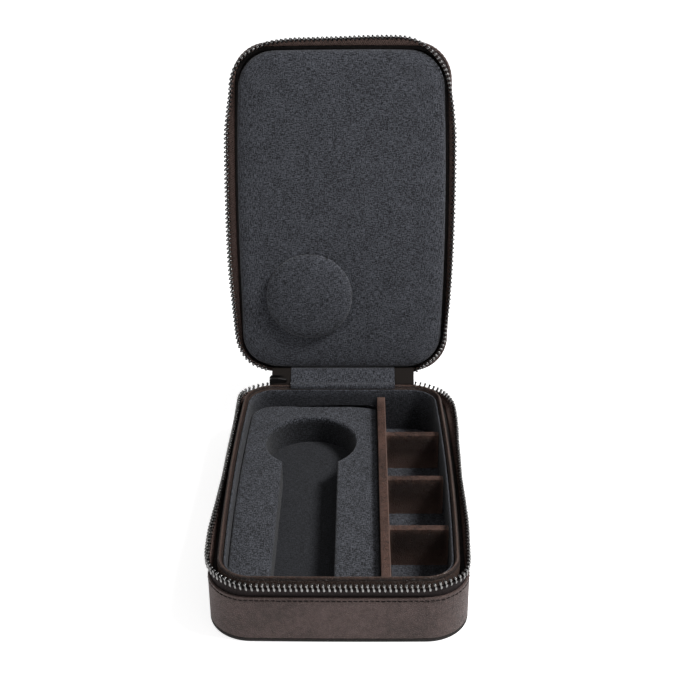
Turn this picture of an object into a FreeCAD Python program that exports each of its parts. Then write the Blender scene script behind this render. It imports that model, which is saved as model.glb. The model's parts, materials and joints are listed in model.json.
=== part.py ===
import FreeCAD, Part
import math
import os

# Watch travel case, zipped round, with its lid standing open.
# Millimetres, +Z up, the front looks towards -Y, the origin is the middle of the underside.
# Every lid piece is drawn closed, above the rim, and is then swung open about the hinge line.

Vector = FreeCAD.Vector

# Outline of the case, seen from above
case_width = 125.4
case_depth = 190.0
side_bow = 1.6
end_bow = 0.3
wall_corner = 20.8
zip_corner = 24.5
lip_corner = 21.8

# Heights
rim_height = 33.0
lid_depth = 15.5
band_gap = 7.6

# Leather, board shells and the gaps between glued layers
leather = 1.2
shell_floor = 2.0
cover_edge_bevel = 0.7
glue_gap = 0.1
seat_gap = 0.2
zip_layer = 1.1
shell_wall = 1.8
shell_drop = 0.5

# Zip
tape_thickness = 0.7
base_tape_sewn = 9.5
lid_tape_sewn = 6.0
tooth_pitch = 2.5
tooth_thickness = 1.35
tooth_depth = 2.4
tooth_height = 3.6
tooth_head_share = 0.55
rim_clearance = 0.2
stop_length = 1.6
stop_depth = 2.0
stop_height = 2.4

# Slider and its pull
slider_length = 10.0
slider_nose = 9.0
slider_tail = 7.2
slider_thickness = 4.4
slider_plate = 0.9
slider_flange = 0.8
slider_slot = 1.9
slider_shoulder_share = 0.8
slider_cheek_share = 0.7
slider_bevel = 0.4
post_nose_share = 0.92
post_wide_share = 0.5
post_tail_share = -0.3
post_height = 2.8
lug_length = 5.4
lug_height = 2.9
lug_width = 1.5
lug_wall = 0.7
pull_bar_radius = 0.5
pull_width = 3.6
pull_cheek = 0.45
pull_thickness = 1.0
pull_loop = 5.2
pull_length = 23.0
pull_hole_radius = 0.8
pull_droop = 12.0
pull_rest_swing = 150.0

# Lip: the leather-covered inner frame of the base
base_lip_inset = 4.6
base_lip = 2.4
lip_rise = 0.2
lip_bevel = 0.7

# Tray: the fabric-covered insert of the base
tray_inset = 7.4
tray_wall = 1.0
tray_floor = 1.8
tray_drop = 2.2

# Platform with the round recess and its channel
platform_thickness = 13.5
platform_bevel = 0.8
recess_radius_share = 0.339
recess_back_margin = 14.3
channel_share = 0.6

# Dividers
compartment_width = 29.8
long_divider_thickness = 4.6
cross_divider_thickness = 3.8
cross_divider_spacing = 43.9
cross_divider_offset = 2.2
cross_divider_end_gap = 1.0
divider_height = 21.4
divider_bevel = 1.0

# Lid panel and the round pad that presses into the recess
panel_drop = 1.5
panel_board = 1.8
panel_bevel = 1.6
pad_clearance = 0.4
pad_shift = 1.8
pad_side = 4.2
pad_crown = 7.6
pad_flat_share = 0.5

# Hinge
lid_angle = 101.0
hinge_behind = 1.6
hinge_above = 0.8
hinge_gap_share = 0.4944
strip_end_gap = 0.8
spine_end_gap = 0.4
strip_thickness = 0.6
spine_thickness = 0.8
strip_gap = 0.3

overrun = 5.0
pick = 0.01

# Places worked out from the sizes above
band_top = rim_height - band_gap
zip_inset = leather + zip_layer / 2
shell_inset = leather + zip_layer
tooth_top = rim_height - rim_clearance
tape_top = tooth_top - tooth_height
base_floor = leather + shell_floor
base_lip_top = rim_height + lip_rise
tray_inside = tray_inset + tray_wall
tray_floor_top = base_floor + tray_floor
tray_top = base_lip_top - tray_drop
platform_top = tray_floor_top + platform_thickness
platform_left = tray_inside + seat_gap - case_width / 2
platform_back = case_depth / 2 - tray_inside - seat_gap
long_divider_x = case_width / 2 - tray_inside - compartment_width - long_divider_thickness / 2
platform_right = long_divider_x - long_divider_thickness / 2 - seat_gap
recess_x = (platform_left + platform_right) / 2
recess_radius = (platform_right - platform_left) * recess_radius_share
recess_y = platform_back - recess_back_margin - recess_radius
channel_width = 2 * recess_radius * channel_share
divider_top = tray_floor_top + divider_height
lid_top = rim_height + lid_depth
lid_inner = lid_top - leather
lid_ceiling = lid_inner - shell_floor
lid_band_edge = rim_height + band_gap
panel_face = rim_height + panel_drop
panel_back = lid_ceiling - panel_board
panel_inset = shell_inset + shell_wall + glue_gap
pad_radius = recess_radius - pad_clearance
hinge_y = case_depth / 2 + hinge_behind
hinge_z = rim_height + hinge_above
hinge_gap = case_width * hinge_gap_share
strip_width = hinge_gap - 2 * strip_end_gap
spine_width = hinge_gap - 2 * spine_end_gap
slider_start = hinge_gap / 2 + stop_length + seat_gap
slider_end = slider_start + slider_length
lid_tape_edge = 2 * rim_height - tape_top
slider_middle_z = lid_tape_edge - seat_gap - slider_nose / 2
lug_pivot = slider_thickness / 2 + (lug_height - lug_wall) / 2


def bow_radius(chord, bow):
    """Radius of the arc that swells by bow over a chord."""
    return (chord * chord / 4 + bow * bow) / (2 * bow)


side_radius = bow_radius(case_depth - 2 * wall_corner, side_bow)
end_radius = bow_radius(case_width - 2 * wall_corner, end_bow)


def corner_centre(corner):
    """Centre of the right rear corner arc, which runs smoothly into the side and the end."""
    side_x = case_width / 2 - side_radius
    end_y = case_depth / 2 - end_radius
    span = math.hypot(side_x, end_y)
    side_reach = side_radius - corner
    end_reach = end_radius - corner
    along = (side_reach**2 - end_reach**2 + span**2) / (2 * span)
    across = math.sqrt(side_reach**2 - along**2)
    unit_x = -side_x / span
    unit_y = end_y / span
    return side_x + along * unit_x - across * unit_y, along * unit_y + across * unit_x


def outline_arcs(inset, corner):
    """The arcs (centre, radius, start, end angle) from the middle of the back, leftwards, and round."""
    side_x = case_width / 2 - side_radius
    end_y = case_depth / 2 - end_radius
    x, y = corner_centre(corner)
    side_turn = math.degrees(math.atan2(y, x - side_x))
    end_turn = math.degrees(math.atan2(y - end_y, x))
    end = end_radius - inset
    side = side_radius - inset
    small = corner - inset
    return [
        (0, end_y, end, 90, 180 - end_turn),
        (-x, y, small, 180 - end_turn, 180 - side_turn),
        (-side_x, 0, side, 180 - side_turn, 180 + side_turn),
        (-x, -y, small, 180 + side_turn, 180 + end_turn),
        (0, -end_y, end, 180 + end_turn, 360 - end_turn),
        (x, -y, small, 360 - end_turn, 360 - side_turn),
        (side_x, 0, side, 360 - side_turn, 360 + side_turn),
        (x, y, small, 360 + side_turn, 360 + end_turn),
        (0, end_y, end, 360 + end_turn, 450),
    ]


def arc_point(arc, angle, z):
    x, y, radius = arc[:3]
    turn = math.radians(angle)
    return Vector(x + radius * math.cos(turn), y + radius * math.sin(turn), z)


def outline_wire(inset, z, corner):
    edges = []
    for arc in outline_arcs(inset, corner):
        start, end = arc[3:]
        middle = (start + end) / 2
        points = [arc_point(arc, angle, z) for angle in (start, middle, end)]
        edges.append(Part.Arc(*points).toShape())
    return Part.Wire(edges)


def arc_length(arc):
    return arc[2] * math.radians(arc[4] - arc[3])


def outline_place(distance, inset, corner):
    """Point and outward direction, in degrees, at a distance along the outline from the back's middle."""
    for arc in outline_arcs(inset, corner):
        length = arc_length(arc)
        if distance <= length:
            angle = arc[3] + math.degrees(distance / arc[2])
            return arc_point(arc, angle, 0), angle
        distance -= length
    return arc_point(arc, arc[4], 0), arc[4]


def slab(inset, bottom, top, corner):
    """A plate with the case's outline, set in from it."""
    face = Part.Face(outline_wire(inset, bottom, corner))
    return face.extrude(Vector(0, 0, top - bottom))


def ring(outside, inside, bottom, top, corner):
    """A wall that follows the case's outline, between two insets."""
    core = slab(inside, bottom - overrun, top + overrun, corner)
    return slab(outside, bottom, top, corner).cut(core)


def box(x_low, x_high, y_low, y_high, z_low, z_high):
    corner = Vector(x_low, y_low, z_low)
    return Part.makeBox(x_high - x_low, y_high - y_low, z_high - z_low, corner)


def prism(points, direction):
    """A solid drawn by a closed outline of points and pushed along a direction."""
    return Part.Face(Part.makePolygon(points + points[:1])).extrude(direction)


def level_edges(shape, z):
    """The edges that lie flat at one height."""
    found = []
    for edge in shape.Edges:
        low = edge.BoundBox.ZMin
        high = edge.BoundBox.ZMax
        if abs(low - z) < pick and abs(high - z) < pick:
            found.append(edge)
    return found


def opened(shape):
    """A lid piece swung from closed to open."""
    turned = shape.copy()
    turned.rotate(Vector(0, hinge_y, hinge_z), Vector(1, 0, 0), -lid_angle)
    return turned


def opened_point(y, z):
    """Where a point of the closed lid, in the plane x = 0, lies once it is open."""
    turn = math.radians(lid_angle)
    along = y - hinge_y
    up = z - hinge_z
    new_y = hinge_y + along * math.cos(turn) + up * math.sin(turn)
    new_z = hinge_z - along * math.sin(turn) + up * math.cos(turn)
    return Vector(0, new_y, new_z)


def mirrored(shape):
    """The lid's twin of a base piece, across the plane of the rim."""
    return shape.mirror(Vector(0, 0, rim_height), Vector(0, 0, 1))


def placed(shape, distance, z):
    """A piece drawn with x pointing back along the zip and y outwards, set on the zip's line."""
    point, angle = outline_place(distance, zip_inset, zip_corner)
    piece = shape.copy()
    piece.rotate(Vector(0, 0, 0), Vector(0, 0, 1), angle - 90)
    piece.translate(point + Vector(0, 0, z))
    return piece


def facing_ahead(shape):
    """A piece drawn pointing to +x, turned about its outward axis to point ahead along the zip."""
    turned = shape.copy()
    turned.rotate(Vector(0, 0, 0), Vector(0, 1, 0), 180)
    return turned


def save(name, shape):
    shape.exportStep("parts/" + name + ".step")
    facets = len(shape.tessellate(tape_thickness / 7)[1])
    print(name, "solids", len(shape.Solids), "valid", shape.isValid(), "facets", facets)
    return facets


# Leather and board shells

def make_underside_leather():
    """The bottom cover, with its lower edge eased."""
    cover = slab(0, 0, leather, wall_corner)
    return cover.makeChamfer(cover_edge_bevel, level_edges(cover, 0))


def make_shell(low, high, hollow_low, hollow_high):
    """A moulded board shell, floor and wall in one, set in behind the band by the zip tape."""
    block = slab(shell_inset, low, high, wall_corner)
    return block.cut(slab(shell_inset + shell_wall, hollow_low, hollow_high, wall_corner))


def make_leather_band(bottom, top):
    return ring(0, leather, bottom, top, wall_corner)


def make_base_lip():
    """The base's inner frame, covered in leather; it stands up inside the teeth, its top eased."""
    lip = ring(base_lip_inset, base_lip_inset + base_lip, base_floor, base_lip_top, lip_corner)
    return lip.makeChamfer(lip_bevel, level_edges(lip, base_lip_top))


# Zip

def make_zip_tape(sewn):
    """A base tape: sewn flat behind the band, then drawn in at the corners up to the teeth."""
    shells = []
    for inset in (zip_inset - tape_thickness / 2, zip_inset + tape_thickness / 2):
        sections = [
            outline_wire(inset, band_top - sewn, wall_corner),
            outline_wire(inset, band_top, wall_corner),
            outline_wire(inset, tape_top, zip_corner),
        ]
        shells.append(Part.makeLoft(sections, True, True))
    half = hinge_gap / 2
    gap = box(-half, half, 0, case_depth, 0, rim_height)
    return shells[0].cut(shells[1]).cut(gap)


def make_tooth():
    """One metal tooth: a square foot on the tape that narrows to its head at the rim."""
    foot = tooth_depth / 2
    head = foot * tooth_head_share
    start = -tooth_thickness / 2
    profile = [
        Vector(start, -foot, 0),
        Vector(start, foot, 0),
        Vector(start, head, tooth_height),
        Vector(start, -head, tooth_height),
    ]
    return prism(profile, Vector(tooth_thickness, 0, 0))


def make_teeth(shift):
    """A row of teeth from the slider right round to the far stop, shifted by a share of the pitch."""
    tooth = make_tooth()
    around = sum(arc_length(arc) for arc in outline_arcs(zip_inset, zip_corner))
    first = slider_end + seat_gap + tooth_pitch / 2
    last = around - hinge_gap / 2 - stop_length - seat_gap - tooth_thickness / 2
    count = int((last - first - shift * tooth_pitch) / tooth_pitch) + 1
    places = [first + (number + shift) * tooth_pitch for number in range(count)]
    return Part.makeCompound([placed(tooth, place, tape_top) for place in places])


def make_zip_stops():
    """The two metal clips on the tape beside the hinge, one at each end of the row."""
    around = sum(arc_length(arc) for arc in outline_arcs(zip_inset, zip_corner))
    half_length = stop_length / 2
    half_depth = stop_depth / 2
    clip = box(-half_length, half_length, -half_depth, half_depth, 0, stop_height)
    clip = clip.makeChamfer(slider_bevel, level_edges(clip, stop_height))
    near = hinge_gap / 2 + half_length
    return Part.makeCompound([placed(clip, place, tape_top) for place in (near, around - near)])


def slider_outline(inset, y):
    """The slider's side view: narrow at the tail, widest near the nose."""
    half = slider_length / 2
    tail = slider_tail / 2 - inset
    nose = slider_nose / 2 - inset
    shoulder = half * slider_shoulder_share
    cheek = nose * slider_cheek_share
    return [
        Vector(-half, y, -tail),
        Vector(0, y, -nose),
        Vector(shoulder, y, -nose),
        Vector(half, y, -cheek),
        Vector(half, y, cheek),
        Vector(shoulder, y, nose),
        Vector(0, y, nose),
        Vector(-half, y, tail),
    ]


def make_slider():
    """Two plates joined by a post at the nose, with flanges, a slot for the tape and a lug."""
    half = slider_thickness / 2
    channel = half - slider_plate
    body = prism(slider_outline(0, -half), Vector(0, slider_thickness, 0))
    face_edges = [e for e in body.Edges if abs(e.BoundBox.YMax - e.BoundBox.YMin) < pick]
    body = body.makeChamfer(slider_bevel, face_edges)
    middle = prism(slider_outline(slider_flange, -channel), Vector(0, 2 * channel, 0))
    ends = box(-slider_length, slider_length, -channel, channel, -slider_tail / 2 + slider_flange,
               slider_tail / 2 - slider_flange)
    slot = box(-slider_length, slider_length, -slider_slot / 2, slider_slot / 2,
               -slider_nose, slider_nose)
    body = body.cut(middle).cut(ends).cut(slot)
    reach = slider_length / 2
    post_points = [
        Vector(reach * post_nose_share, -channel - seat_gap, 0),
        Vector(reach * post_wide_share, -channel - seat_gap, post_height / 2),
        Vector(reach * post_tail_share, -channel - seat_gap, 0),
        Vector(reach * post_wide_share, -channel - seat_gap, -post_height / 2),
    ]
    post = prism(post_points, Vector(0, 2 * channel + 2 * seat_gap, 0))
    arch = box(-lug_length / 2, lug_length / 2, half - seat_gap, half + lug_height,
               -lug_width / 2, lug_width / 2)
    upper = [e for e in arch.Edges if e.BoundBox.YMin > half + lug_height - pick
             and e.BoundBox.ZLength > lug_width - pick]
    arch = arch.makeChamfer(lug_wall, upper)
    hole = box(-lug_length / 2 + lug_wall, lug_length / 2 - lug_wall, half,
               half + lug_height - lug_wall, -lug_width, lug_width)
    return facing_ahead(body.fuse([post, arch.cut(hole)]).removeSplitter())


def make_pull():
    """The pull: a bar through the lug, two cheeks and a flat tab, left swung back to the spine."""
    half_width = pull_width / 2
    half_thick = pull_thickness / 2
    low = lug_pivot - half_thick
    high = lug_pivot + half_thick
    plate = box(0, pull_length - half_width, low, high, -half_width, half_width)
    across = Vector(0, 1, 0)
    end_middle = Vector(pull_length - half_width, low, 0)
    plate = plate.fuse(Part.makeCylinder(half_width, pull_thickness, end_middle, across))
    inner = half_width - pull_cheek
    window = box(-overrun, pull_loop, low - overrun, high + overrun, -inner, inner)
    eye = Part.makeCylinder(pull_hole_radius, pull_thickness + 2 * overrun,
                            Vector(pull_length - half_width, low - overrun, 0), across)
    plate = plate.removeSplitter().cut(window).cut(eye)
    bar = Part.makeCylinder(pull_bar_radius, pull_width, Vector(0, lug_pivot, -half_width))
    pull = facing_ahead(plate.fuse(bar))
    pivot = Vector(0, lug_pivot, 0)
    pull.rotate(pivot, Vector(1, 0, 0), -pull_droop)
    droop = math.radians(pull_droop)
    pull.rotate(pivot, Vector(0, math.sin(droop), math.cos(droop)), -pull_rest_swing)
    return pull


# Tray, platform and dividers

def make_tray_wall():
    return ring(tray_inset, tray_inside, tray_floor_top, tray_top, lip_corner)


def make_tray_floor():
    return slab(tray_inset, base_floor, tray_floor_top, lip_corner)


def make_platform():
    """The raised block beside the dividers: a round recess, and a channel from it to the front."""
    block = slab(tray_inside + seat_gap, tray_floor_top, platform_top, lip_corner)
    block = block.cut(box(platform_right, case_width, -case_depth, case_depth, 0, lid_top))
    depth = platform_thickness + 2 * overrun
    start = Vector(recess_x, recess_y, tray_floor_top - overrun)
    recess = Part.makeCylinder(recess_radius, depth, start)
    half = channel_width / 2
    channel = box(recess_x - half, recess_x + half, -case_depth, recess_y, 0, lid_top)
    block = block.cut(recess.fuse(channel))
    return block.makeChamfer(platform_bevel, level_edges(block, platform_top))


def make_long_divider():
    half = long_divider_thickness / 2
    wall = slab(tray_inside + seat_gap, tray_floor_top, divider_top, lip_corner)
    wall = wall.common(box(long_divider_x - half, long_divider_x + half, -case_depth, case_depth,
                           0, lid_top))
    return wall.makeChamfer(divider_bevel, level_edges(wall, divider_top))


def make_cross_divider(middle_y):
    """A short divider between the long one and the right wall."""
    left = long_divider_x + long_divider_thickness / 2
    right = case_width / 2 - tray_inside - cross_divider_end_gap
    half = cross_divider_thickness / 2
    wall = box(left, right, middle_y - half, middle_y + half, tray_floor_top, divider_top)
    top = [e for e in level_edges(wall, divider_top) if e.BoundBox.XMax > left + pick]
    return wall.makeChamfer(divider_bevel, top)


# Lid

def make_lid_top_leather():
    """The lid's outer cover, with its upper edge eased."""
    cover = slab(0, lid_inner, lid_top, wall_corner)
    return cover.makeChamfer(cover_edge_bevel, level_edges(cover, lid_top))


def make_lid_panel():
    """The foam panel wrapped in fabric that closes the lid's inside, with its edge rolled back."""
    panel = slab(panel_inset, panel_face, panel_back, zip_corner)
    return panel.makeChamfer(panel_bevel, level_edges(panel, panel_face))


def make_panel_board():
    return slab(panel_inset, panel_back, lid_ceiling, zip_corner)


def make_press_pad():
    """The round pad, upside down on the panel: a straight side and a crowned face."""
    profile = [
        Vector(0, 0, 0),
        Vector(pad_radius, 0, 0),
        Vector(pad_radius, 0, -pad_side),
        Vector(pad_radius * pad_flat_share, 0, -pad_crown),
        Vector(0, 0, -pad_crown),
    ]
    outline = Part.makePolygon(profile + profile[:1])
    pad = Part.Face(outline).revolve(Vector(0, 0, 0), Vector(0, 0, 1), 360)
    pad.translate(Vector(recess_x - pad_shift, recess_y, panel_face))
    return pad


# Hinge

def sheet_along(path, thickness, width):
    """A strip of one thickness that follows a path in the plane x = 0."""
    face = Part.Face(Part.Wire(path).makeOffset2D(thickness / 2, 2))
    strip = face.extrude(Vector(width, 0, 0))
    strip.translate(Vector(-width / 2, 0, 0))
    return strip


def make_hinge_strip():
    """The fabric strip inside: up from the tray's edge, over the lip, and taut to the lid panel's edge."""
    off = strip_thickness / 2 + strip_gap
    back = case_depth / 2
    inner_y = back - base_lip_inset - base_lip - off
    outer_y = back - base_lip_inset
    over = base_lip_top + off
    lid_y = back - panel_inset + off
    points = [
        Vector(0, inner_y, tray_top + seat_gap + strip_thickness / 2),
        Vector(0, inner_y, over - off),
        Vector(0, inner_y + off, over),
        Vector(0, outer_y, over),
        opened_point(lid_y, panel_face),
        opened_point(lid_y, lid_band_edge),
    ]
    path = [Part.LineSegment(a, b).toShape() for a, b in zip(points, points[1:])]
    return sheet_along(path, strip_thickness, strip_width)


def make_hinge_spine():
    """The leather spine outside: sewn behind both bands, bent in one arc between them."""
    middle = case_depth / 2 - zip_inset - seat_gap / 2
    low = Vector(0, middle, band_top - base_tape_sewn)
    start = Vector(0, middle, band_top)
    end = opened_point(middle, lid_band_edge)
    far = opened_point(middle, lid_ceiling - glue_gap)
    across = end.y - start.y
    up = end.z - start.z
    radius = (across**2 + up**2) / (2 * across)
    centre = start + Vector(0, radius, 0)
    half_turn = math.atan2(up, centre.y - end.y) / 2
    bend = centre + Vector(0, -radius * math.cos(half_turn), radius * math.sin(half_turn))
    path = [
        Part.LineSegment(low, start).toShape(),
        Part.Arc(start, bend, end).toShape(),
        Part.LineSegment(end, far).toShape(),
    ]
    return sheet_along(path, spine_thickness, spine_width)


os.makedirs("parts", exist_ok=True)

slider_place = (slider_start + slider_end) / 2

pieces = {
    "underside_leather": make_underside_leather(),
    "base_shell": make_shell(leather, band_top - shell_drop, base_floor, rim_height),
    "base_leather_band": make_leather_band(leather, band_top),
    "base_lip": make_base_lip(),
    "base_zip_tape": make_zip_tape(base_tape_sewn),
    "base_zip_teeth": make_teeth(0),
    "base_zip_stops": make_zip_stops(),
    "zip_slider": placed(make_slider(), slider_place, slider_middle_z),
    "zip_pull": placed(make_pull(), slider_place, slider_middle_z),
    "tray_floor": make_tray_floor(),
    "tray_wall": make_tray_wall(),
    "watch_platform": make_platform(),
    "long_divider": make_long_divider(),
    "hinge_strip": make_hinge_strip(),
    "hinge_spine": make_hinge_spine(),
    "lid_top_leather": opened(make_lid_top_leather()),
    "lid_shell": opened(make_shell(lid_band_edge + shell_drop, lid_inner, rim_height, lid_ceiling)),
    "lid_leather_band": opened(make_leather_band(lid_band_edge, lid_inner)),
    "lid_zip_tape": opened(mirrored(make_zip_tape(lid_tape_sewn))),
    "lid_zip_teeth": opened(mirrored(make_teeth(0.5))),
    "lid_zip_stops": opened(mirrored(make_zip_stops())),
    "lid_panel": opened(make_lid_panel()),
    "lid_panel_board": opened(make_panel_board()),
    "press_pad": opened(make_press_pad()),
}
for name, step in (("rear", 1), ("middle", 0), ("front", -1)):
    middle = cross_divider_offset + step * cross_divider_spacing
    pieces["cross_divider_" + name] = make_cross_divider(middle)

total = sum(save(name, shape) for name, shape in pieces.items())
print("nodes", len(pieces), "facets", total)

pivot, turn = outline_place(slider_place, zip_inset, zip_corner)
outward = Vector(math.cos(math.radians(turn)), math.sin(math.radians(turn)), 0)
pin = pivot + outward * lug_pivot
droop = math.radians(pull_droop)
axis = outward * math.sin(droop) + Vector(0, 0, math.cos(droop))
print("hinge line", hinge_y, hinge_z)
print("pull pivot", pin.x, pin.y, slider_middle_z, "axis", axis.x, axis.y, axis.z)
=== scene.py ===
# %% [markdown]
# # A zipped travel case, standing open
#
# This lesson dresses a plain construction model. The frame already holds every board, lip, tooth
# and divider at its real size, so nothing here is measured twice: places are read from the frame,
# and each cell only makes the surface that the eye sees, such as turned leather edges, stitches,
# woven lining and metal teeth.

# %% Load the frame
import json
import math

import bmesh
import bpy
import numpy as np
from mathutils import Matrix, Vector

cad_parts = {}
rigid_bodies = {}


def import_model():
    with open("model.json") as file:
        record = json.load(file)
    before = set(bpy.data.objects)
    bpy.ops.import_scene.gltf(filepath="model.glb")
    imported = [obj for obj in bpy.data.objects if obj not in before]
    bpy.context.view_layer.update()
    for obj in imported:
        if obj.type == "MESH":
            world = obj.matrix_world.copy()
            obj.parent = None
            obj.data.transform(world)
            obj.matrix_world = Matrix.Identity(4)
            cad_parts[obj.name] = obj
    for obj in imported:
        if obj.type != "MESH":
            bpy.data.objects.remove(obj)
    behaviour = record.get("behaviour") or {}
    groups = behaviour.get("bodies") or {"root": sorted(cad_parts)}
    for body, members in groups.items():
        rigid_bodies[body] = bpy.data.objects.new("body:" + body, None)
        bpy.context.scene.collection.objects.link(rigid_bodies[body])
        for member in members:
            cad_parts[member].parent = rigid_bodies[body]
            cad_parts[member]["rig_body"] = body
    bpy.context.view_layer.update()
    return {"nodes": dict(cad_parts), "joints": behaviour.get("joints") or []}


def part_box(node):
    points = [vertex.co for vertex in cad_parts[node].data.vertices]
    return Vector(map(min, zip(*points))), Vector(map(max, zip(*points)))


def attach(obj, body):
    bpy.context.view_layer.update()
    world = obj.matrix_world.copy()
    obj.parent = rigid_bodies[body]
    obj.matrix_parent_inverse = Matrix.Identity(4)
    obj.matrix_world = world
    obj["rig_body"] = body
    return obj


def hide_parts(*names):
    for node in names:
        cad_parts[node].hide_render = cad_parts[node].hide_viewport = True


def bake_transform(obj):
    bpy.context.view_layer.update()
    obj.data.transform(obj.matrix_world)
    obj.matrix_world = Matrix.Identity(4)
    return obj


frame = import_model()
mm = 0.001

# %% [markdown]
# ## Sizes
#
# The case is one outline used again and again: every layer is that outline set in by a little.
# The overall sizes and the heights come from the boxes of the frame's pieces. Only what a box
# cannot tell, such as a corner radius or how deep a layer sits, is written here as a named value.

# %% Read the main sizes
band_low, band_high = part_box("base_leather_band")
case_width = band_high.x - band_low.x
case_depth = band_high.y - band_low.y
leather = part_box("underside_leather")[1].z
band_top = band_high.z
lip_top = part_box("base_lip")[1].z
tray_floor_low, tray_floor_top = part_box("tray_floor")[0].z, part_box("tray_floor")[1].z
tray_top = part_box("tray_wall")[1].z
platform_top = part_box("watch_platform")[1].z
divider_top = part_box("long_divider")[1].z
teeth_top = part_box("base_zip_teeth")[1].z
rim_clearance = 0.2 * mm
rim = teeth_top + rim_clearance

side_bow, end_bow = 1.6 * mm, 0.3 * mm
wall_corner, zip_corner, lip_corner = 20.8 * mm, 24.5 * mm, 21.8 * mm
print("case", round(case_width / mm, 1), "by", round(case_depth / mm, 1), "rim at", round(rim / mm, 1))

# %% Read the hinge and the lid's depth
hinge = next(joint for joint in frame["joints"] if joint["name"] == "lid_hinge")
hinge_line = Vector(hinge["pos_m"])
lid_angle = math.radians(hinge["range_deg"][1])
to_hinge = Matrix.Translation(hinge_line)
swing_open = to_hinge @ Matrix.Rotation(-lid_angle, 4, "X") @ to_hinge.inverted()
lid_depth = 15.5 * mm
lid_top = rim + lid_depth
lid_band_edge = 2 * rim - band_top
print("lid opens", round(math.degrees(lid_angle)), "degrees, its line", round(hinge_line.z / mm, 1), "mm up")

# %% [markdown]
# ## The outline
#
# Seen from above the case is a rounded rectangle whose sides bow out slightly. Four straight lines
# with bevelled corners would look stiff, and a drawn spline would be hard to set in evenly. Arcs
# that meet smoothly are the honest way: a set-in copy of an arc is an arc about the same centre.


# %% The outline's arcs
def bow_radius(chord, bow):
    """Radius of the arc that swells by bow over a chord."""
    return (chord * chord / 4 + bow * bow) / (2 * bow)


side_radius = bow_radius(case_depth - 2 * wall_corner, side_bow)
end_radius = bow_radius(case_width - 2 * wall_corner, end_bow)


def outline_arcs(inset, corner):
    """Centre x, y, radius, start and end angle of each arc, from the back's middle, leftwards."""
    side_x = case_width / 2 - side_radius
    end_y = case_depth / 2 - end_radius
    span = math.hypot(side_x, end_y)
    side_reach, end_reach = side_radius - corner, end_radius - corner
    along = (side_reach**2 - end_reach**2 + span**2) / (2 * span)
    across = math.sqrt(side_reach**2 - along**2)
    x = side_x - along * side_x / span - across * end_y / span
    y = along * end_y / span - across * side_x / span
    side_turn = math.degrees(math.atan2(y, x - side_x))
    end_turn = math.degrees(math.atan2(y - end_y, x))
    end, side, small = end_radius - inset, side_radius - inset, corner - inset
    return [
        (0, end_y, end, 90, 180 - end_turn),
        (-x, y, small, 180 - end_turn, 180 - side_turn),
        (-side_x, 0, side, 180 - side_turn, 180 + side_turn),
        (-x, -y, small, 180 + side_turn, 180 + end_turn),
        (0, -end_y, end, 180 + end_turn, 360 - end_turn),
        (x, -y, small, 360 - end_turn, 360 - side_turn),
        (side_x, 0, side, 360 - side_turn, 360 + side_turn),
        (x, y, small, 360 + side_turn, 360 + end_turn),
        (0, end_y, end, 360 + end_turn, 450),
    ]


def way_round(inset, corner):
    """Length of the whole outline."""
    return sum(arc[2] * math.radians(arc[4] - arc[3]) for arc in outline_arcs(inset, corner))


def along_outline(distances, inset, corner):
    """Points and outward directions at distances from the back's middle, going left and round."""
    arcs = np.array(outline_arcs(inset, corner))
    lengths = arcs[:, 2] * np.radians(arcs[:, 4] - arcs[:, 3])
    starts = np.concatenate(([0], np.cumsum(lengths)[:-1]))
    which = np.clip(np.searchsorted(starts, distances, side="right") - 1, 0, len(arcs) - 1)
    x, y, radius, start = arcs[which, :4].T
    angle = np.radians(start) + (distances - starts[which]) / radius
    outward = np.column_stack((np.cos(angle), np.sin(angle)))
    return np.column_stack((x, y)) + outward * radius[:, None], outward


def loop(corner, step):
    """The closed outline as points and outward directions, evenly spaced."""
    around = way_round(0, corner)
    return along_outline(np.linspace(0, around, int(around / step) + 1), 0, corner)


print("way round", round(way_round(0, wall_corner) / mm), "mm")

# %% [markdown]
# ## Small mesh tools
#
# Most pieces are a section carried round the outline, so one tool makes them all: it lays rows of
# quads through points that are worked out with arrays. Each point also carries a flat coordinate in
# metres, which later places the threads of the weave. An alternative is a curve with a bevel object,
# but a mesh made this way can change its section along the way and stays closed.

# %% Mesh tools
made = {}


def grid(points, threads):
    """Quads through rows of points, with the threads' flat coordinates: one part of a piece."""
    rows, columns = points.shape[:2]
    number = np.arange(rows * columns).reshape(rows, columns)
    corners = (number[:-1, :-1], number[:-1, 1:], number[1:, 1:], number[1:, :-1])
    return points.reshape(-1, 3), np.stack(corners, -1).reshape(-1, 4).tolist(), threads.reshape(-1, 2)


def cap(points):
    """One flat face through a closed row of points, its first point repeated at the end."""
    edge = points[:-1]
    return edge, [list(range(len(edge)))], edge[:, :2]


def lengths_along(points):
    """Running length at each point of a row."""
    steps = np.linalg.norm(np.diff(points, axis=0), axis=1)
    return np.concatenate(([0], np.cumsum(steps)))


def rings(path, section):
    """Rows of points: each (inset, height) of the section carried round the path."""
    points, outward = path
    rows = []
    for inset, height in section:
        flat = points - outward * np.asarray(inset).reshape(-1, 1)
        rows.append(np.column_stack((flat, np.broadcast_to(height, len(flat)))))
    return np.array(rows)


def swept(path, section, closed=False):
    """The part that a section makes when it is carried round a path."""
    section = list(section) + ([section[0]] if closed else [])
    rows = rings(path, section)
    around = lengths_along(rows[0])
    up = lengths_along(rows[:, 0])
    threads = np.stack(np.meshgrid(around, up), -1)
    return grid(rows, threads)


def rounded(inset, height, radius, start, end, steps=6):
    """Section points on an arc about (inset, height); 0 degrees points outwards, 90 up."""
    angles = np.radians(np.linspace(start, end, steps + 1))
    return [(inset - radius * math.cos(a), height + radius * math.sin(a)) for a in angles]


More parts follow.
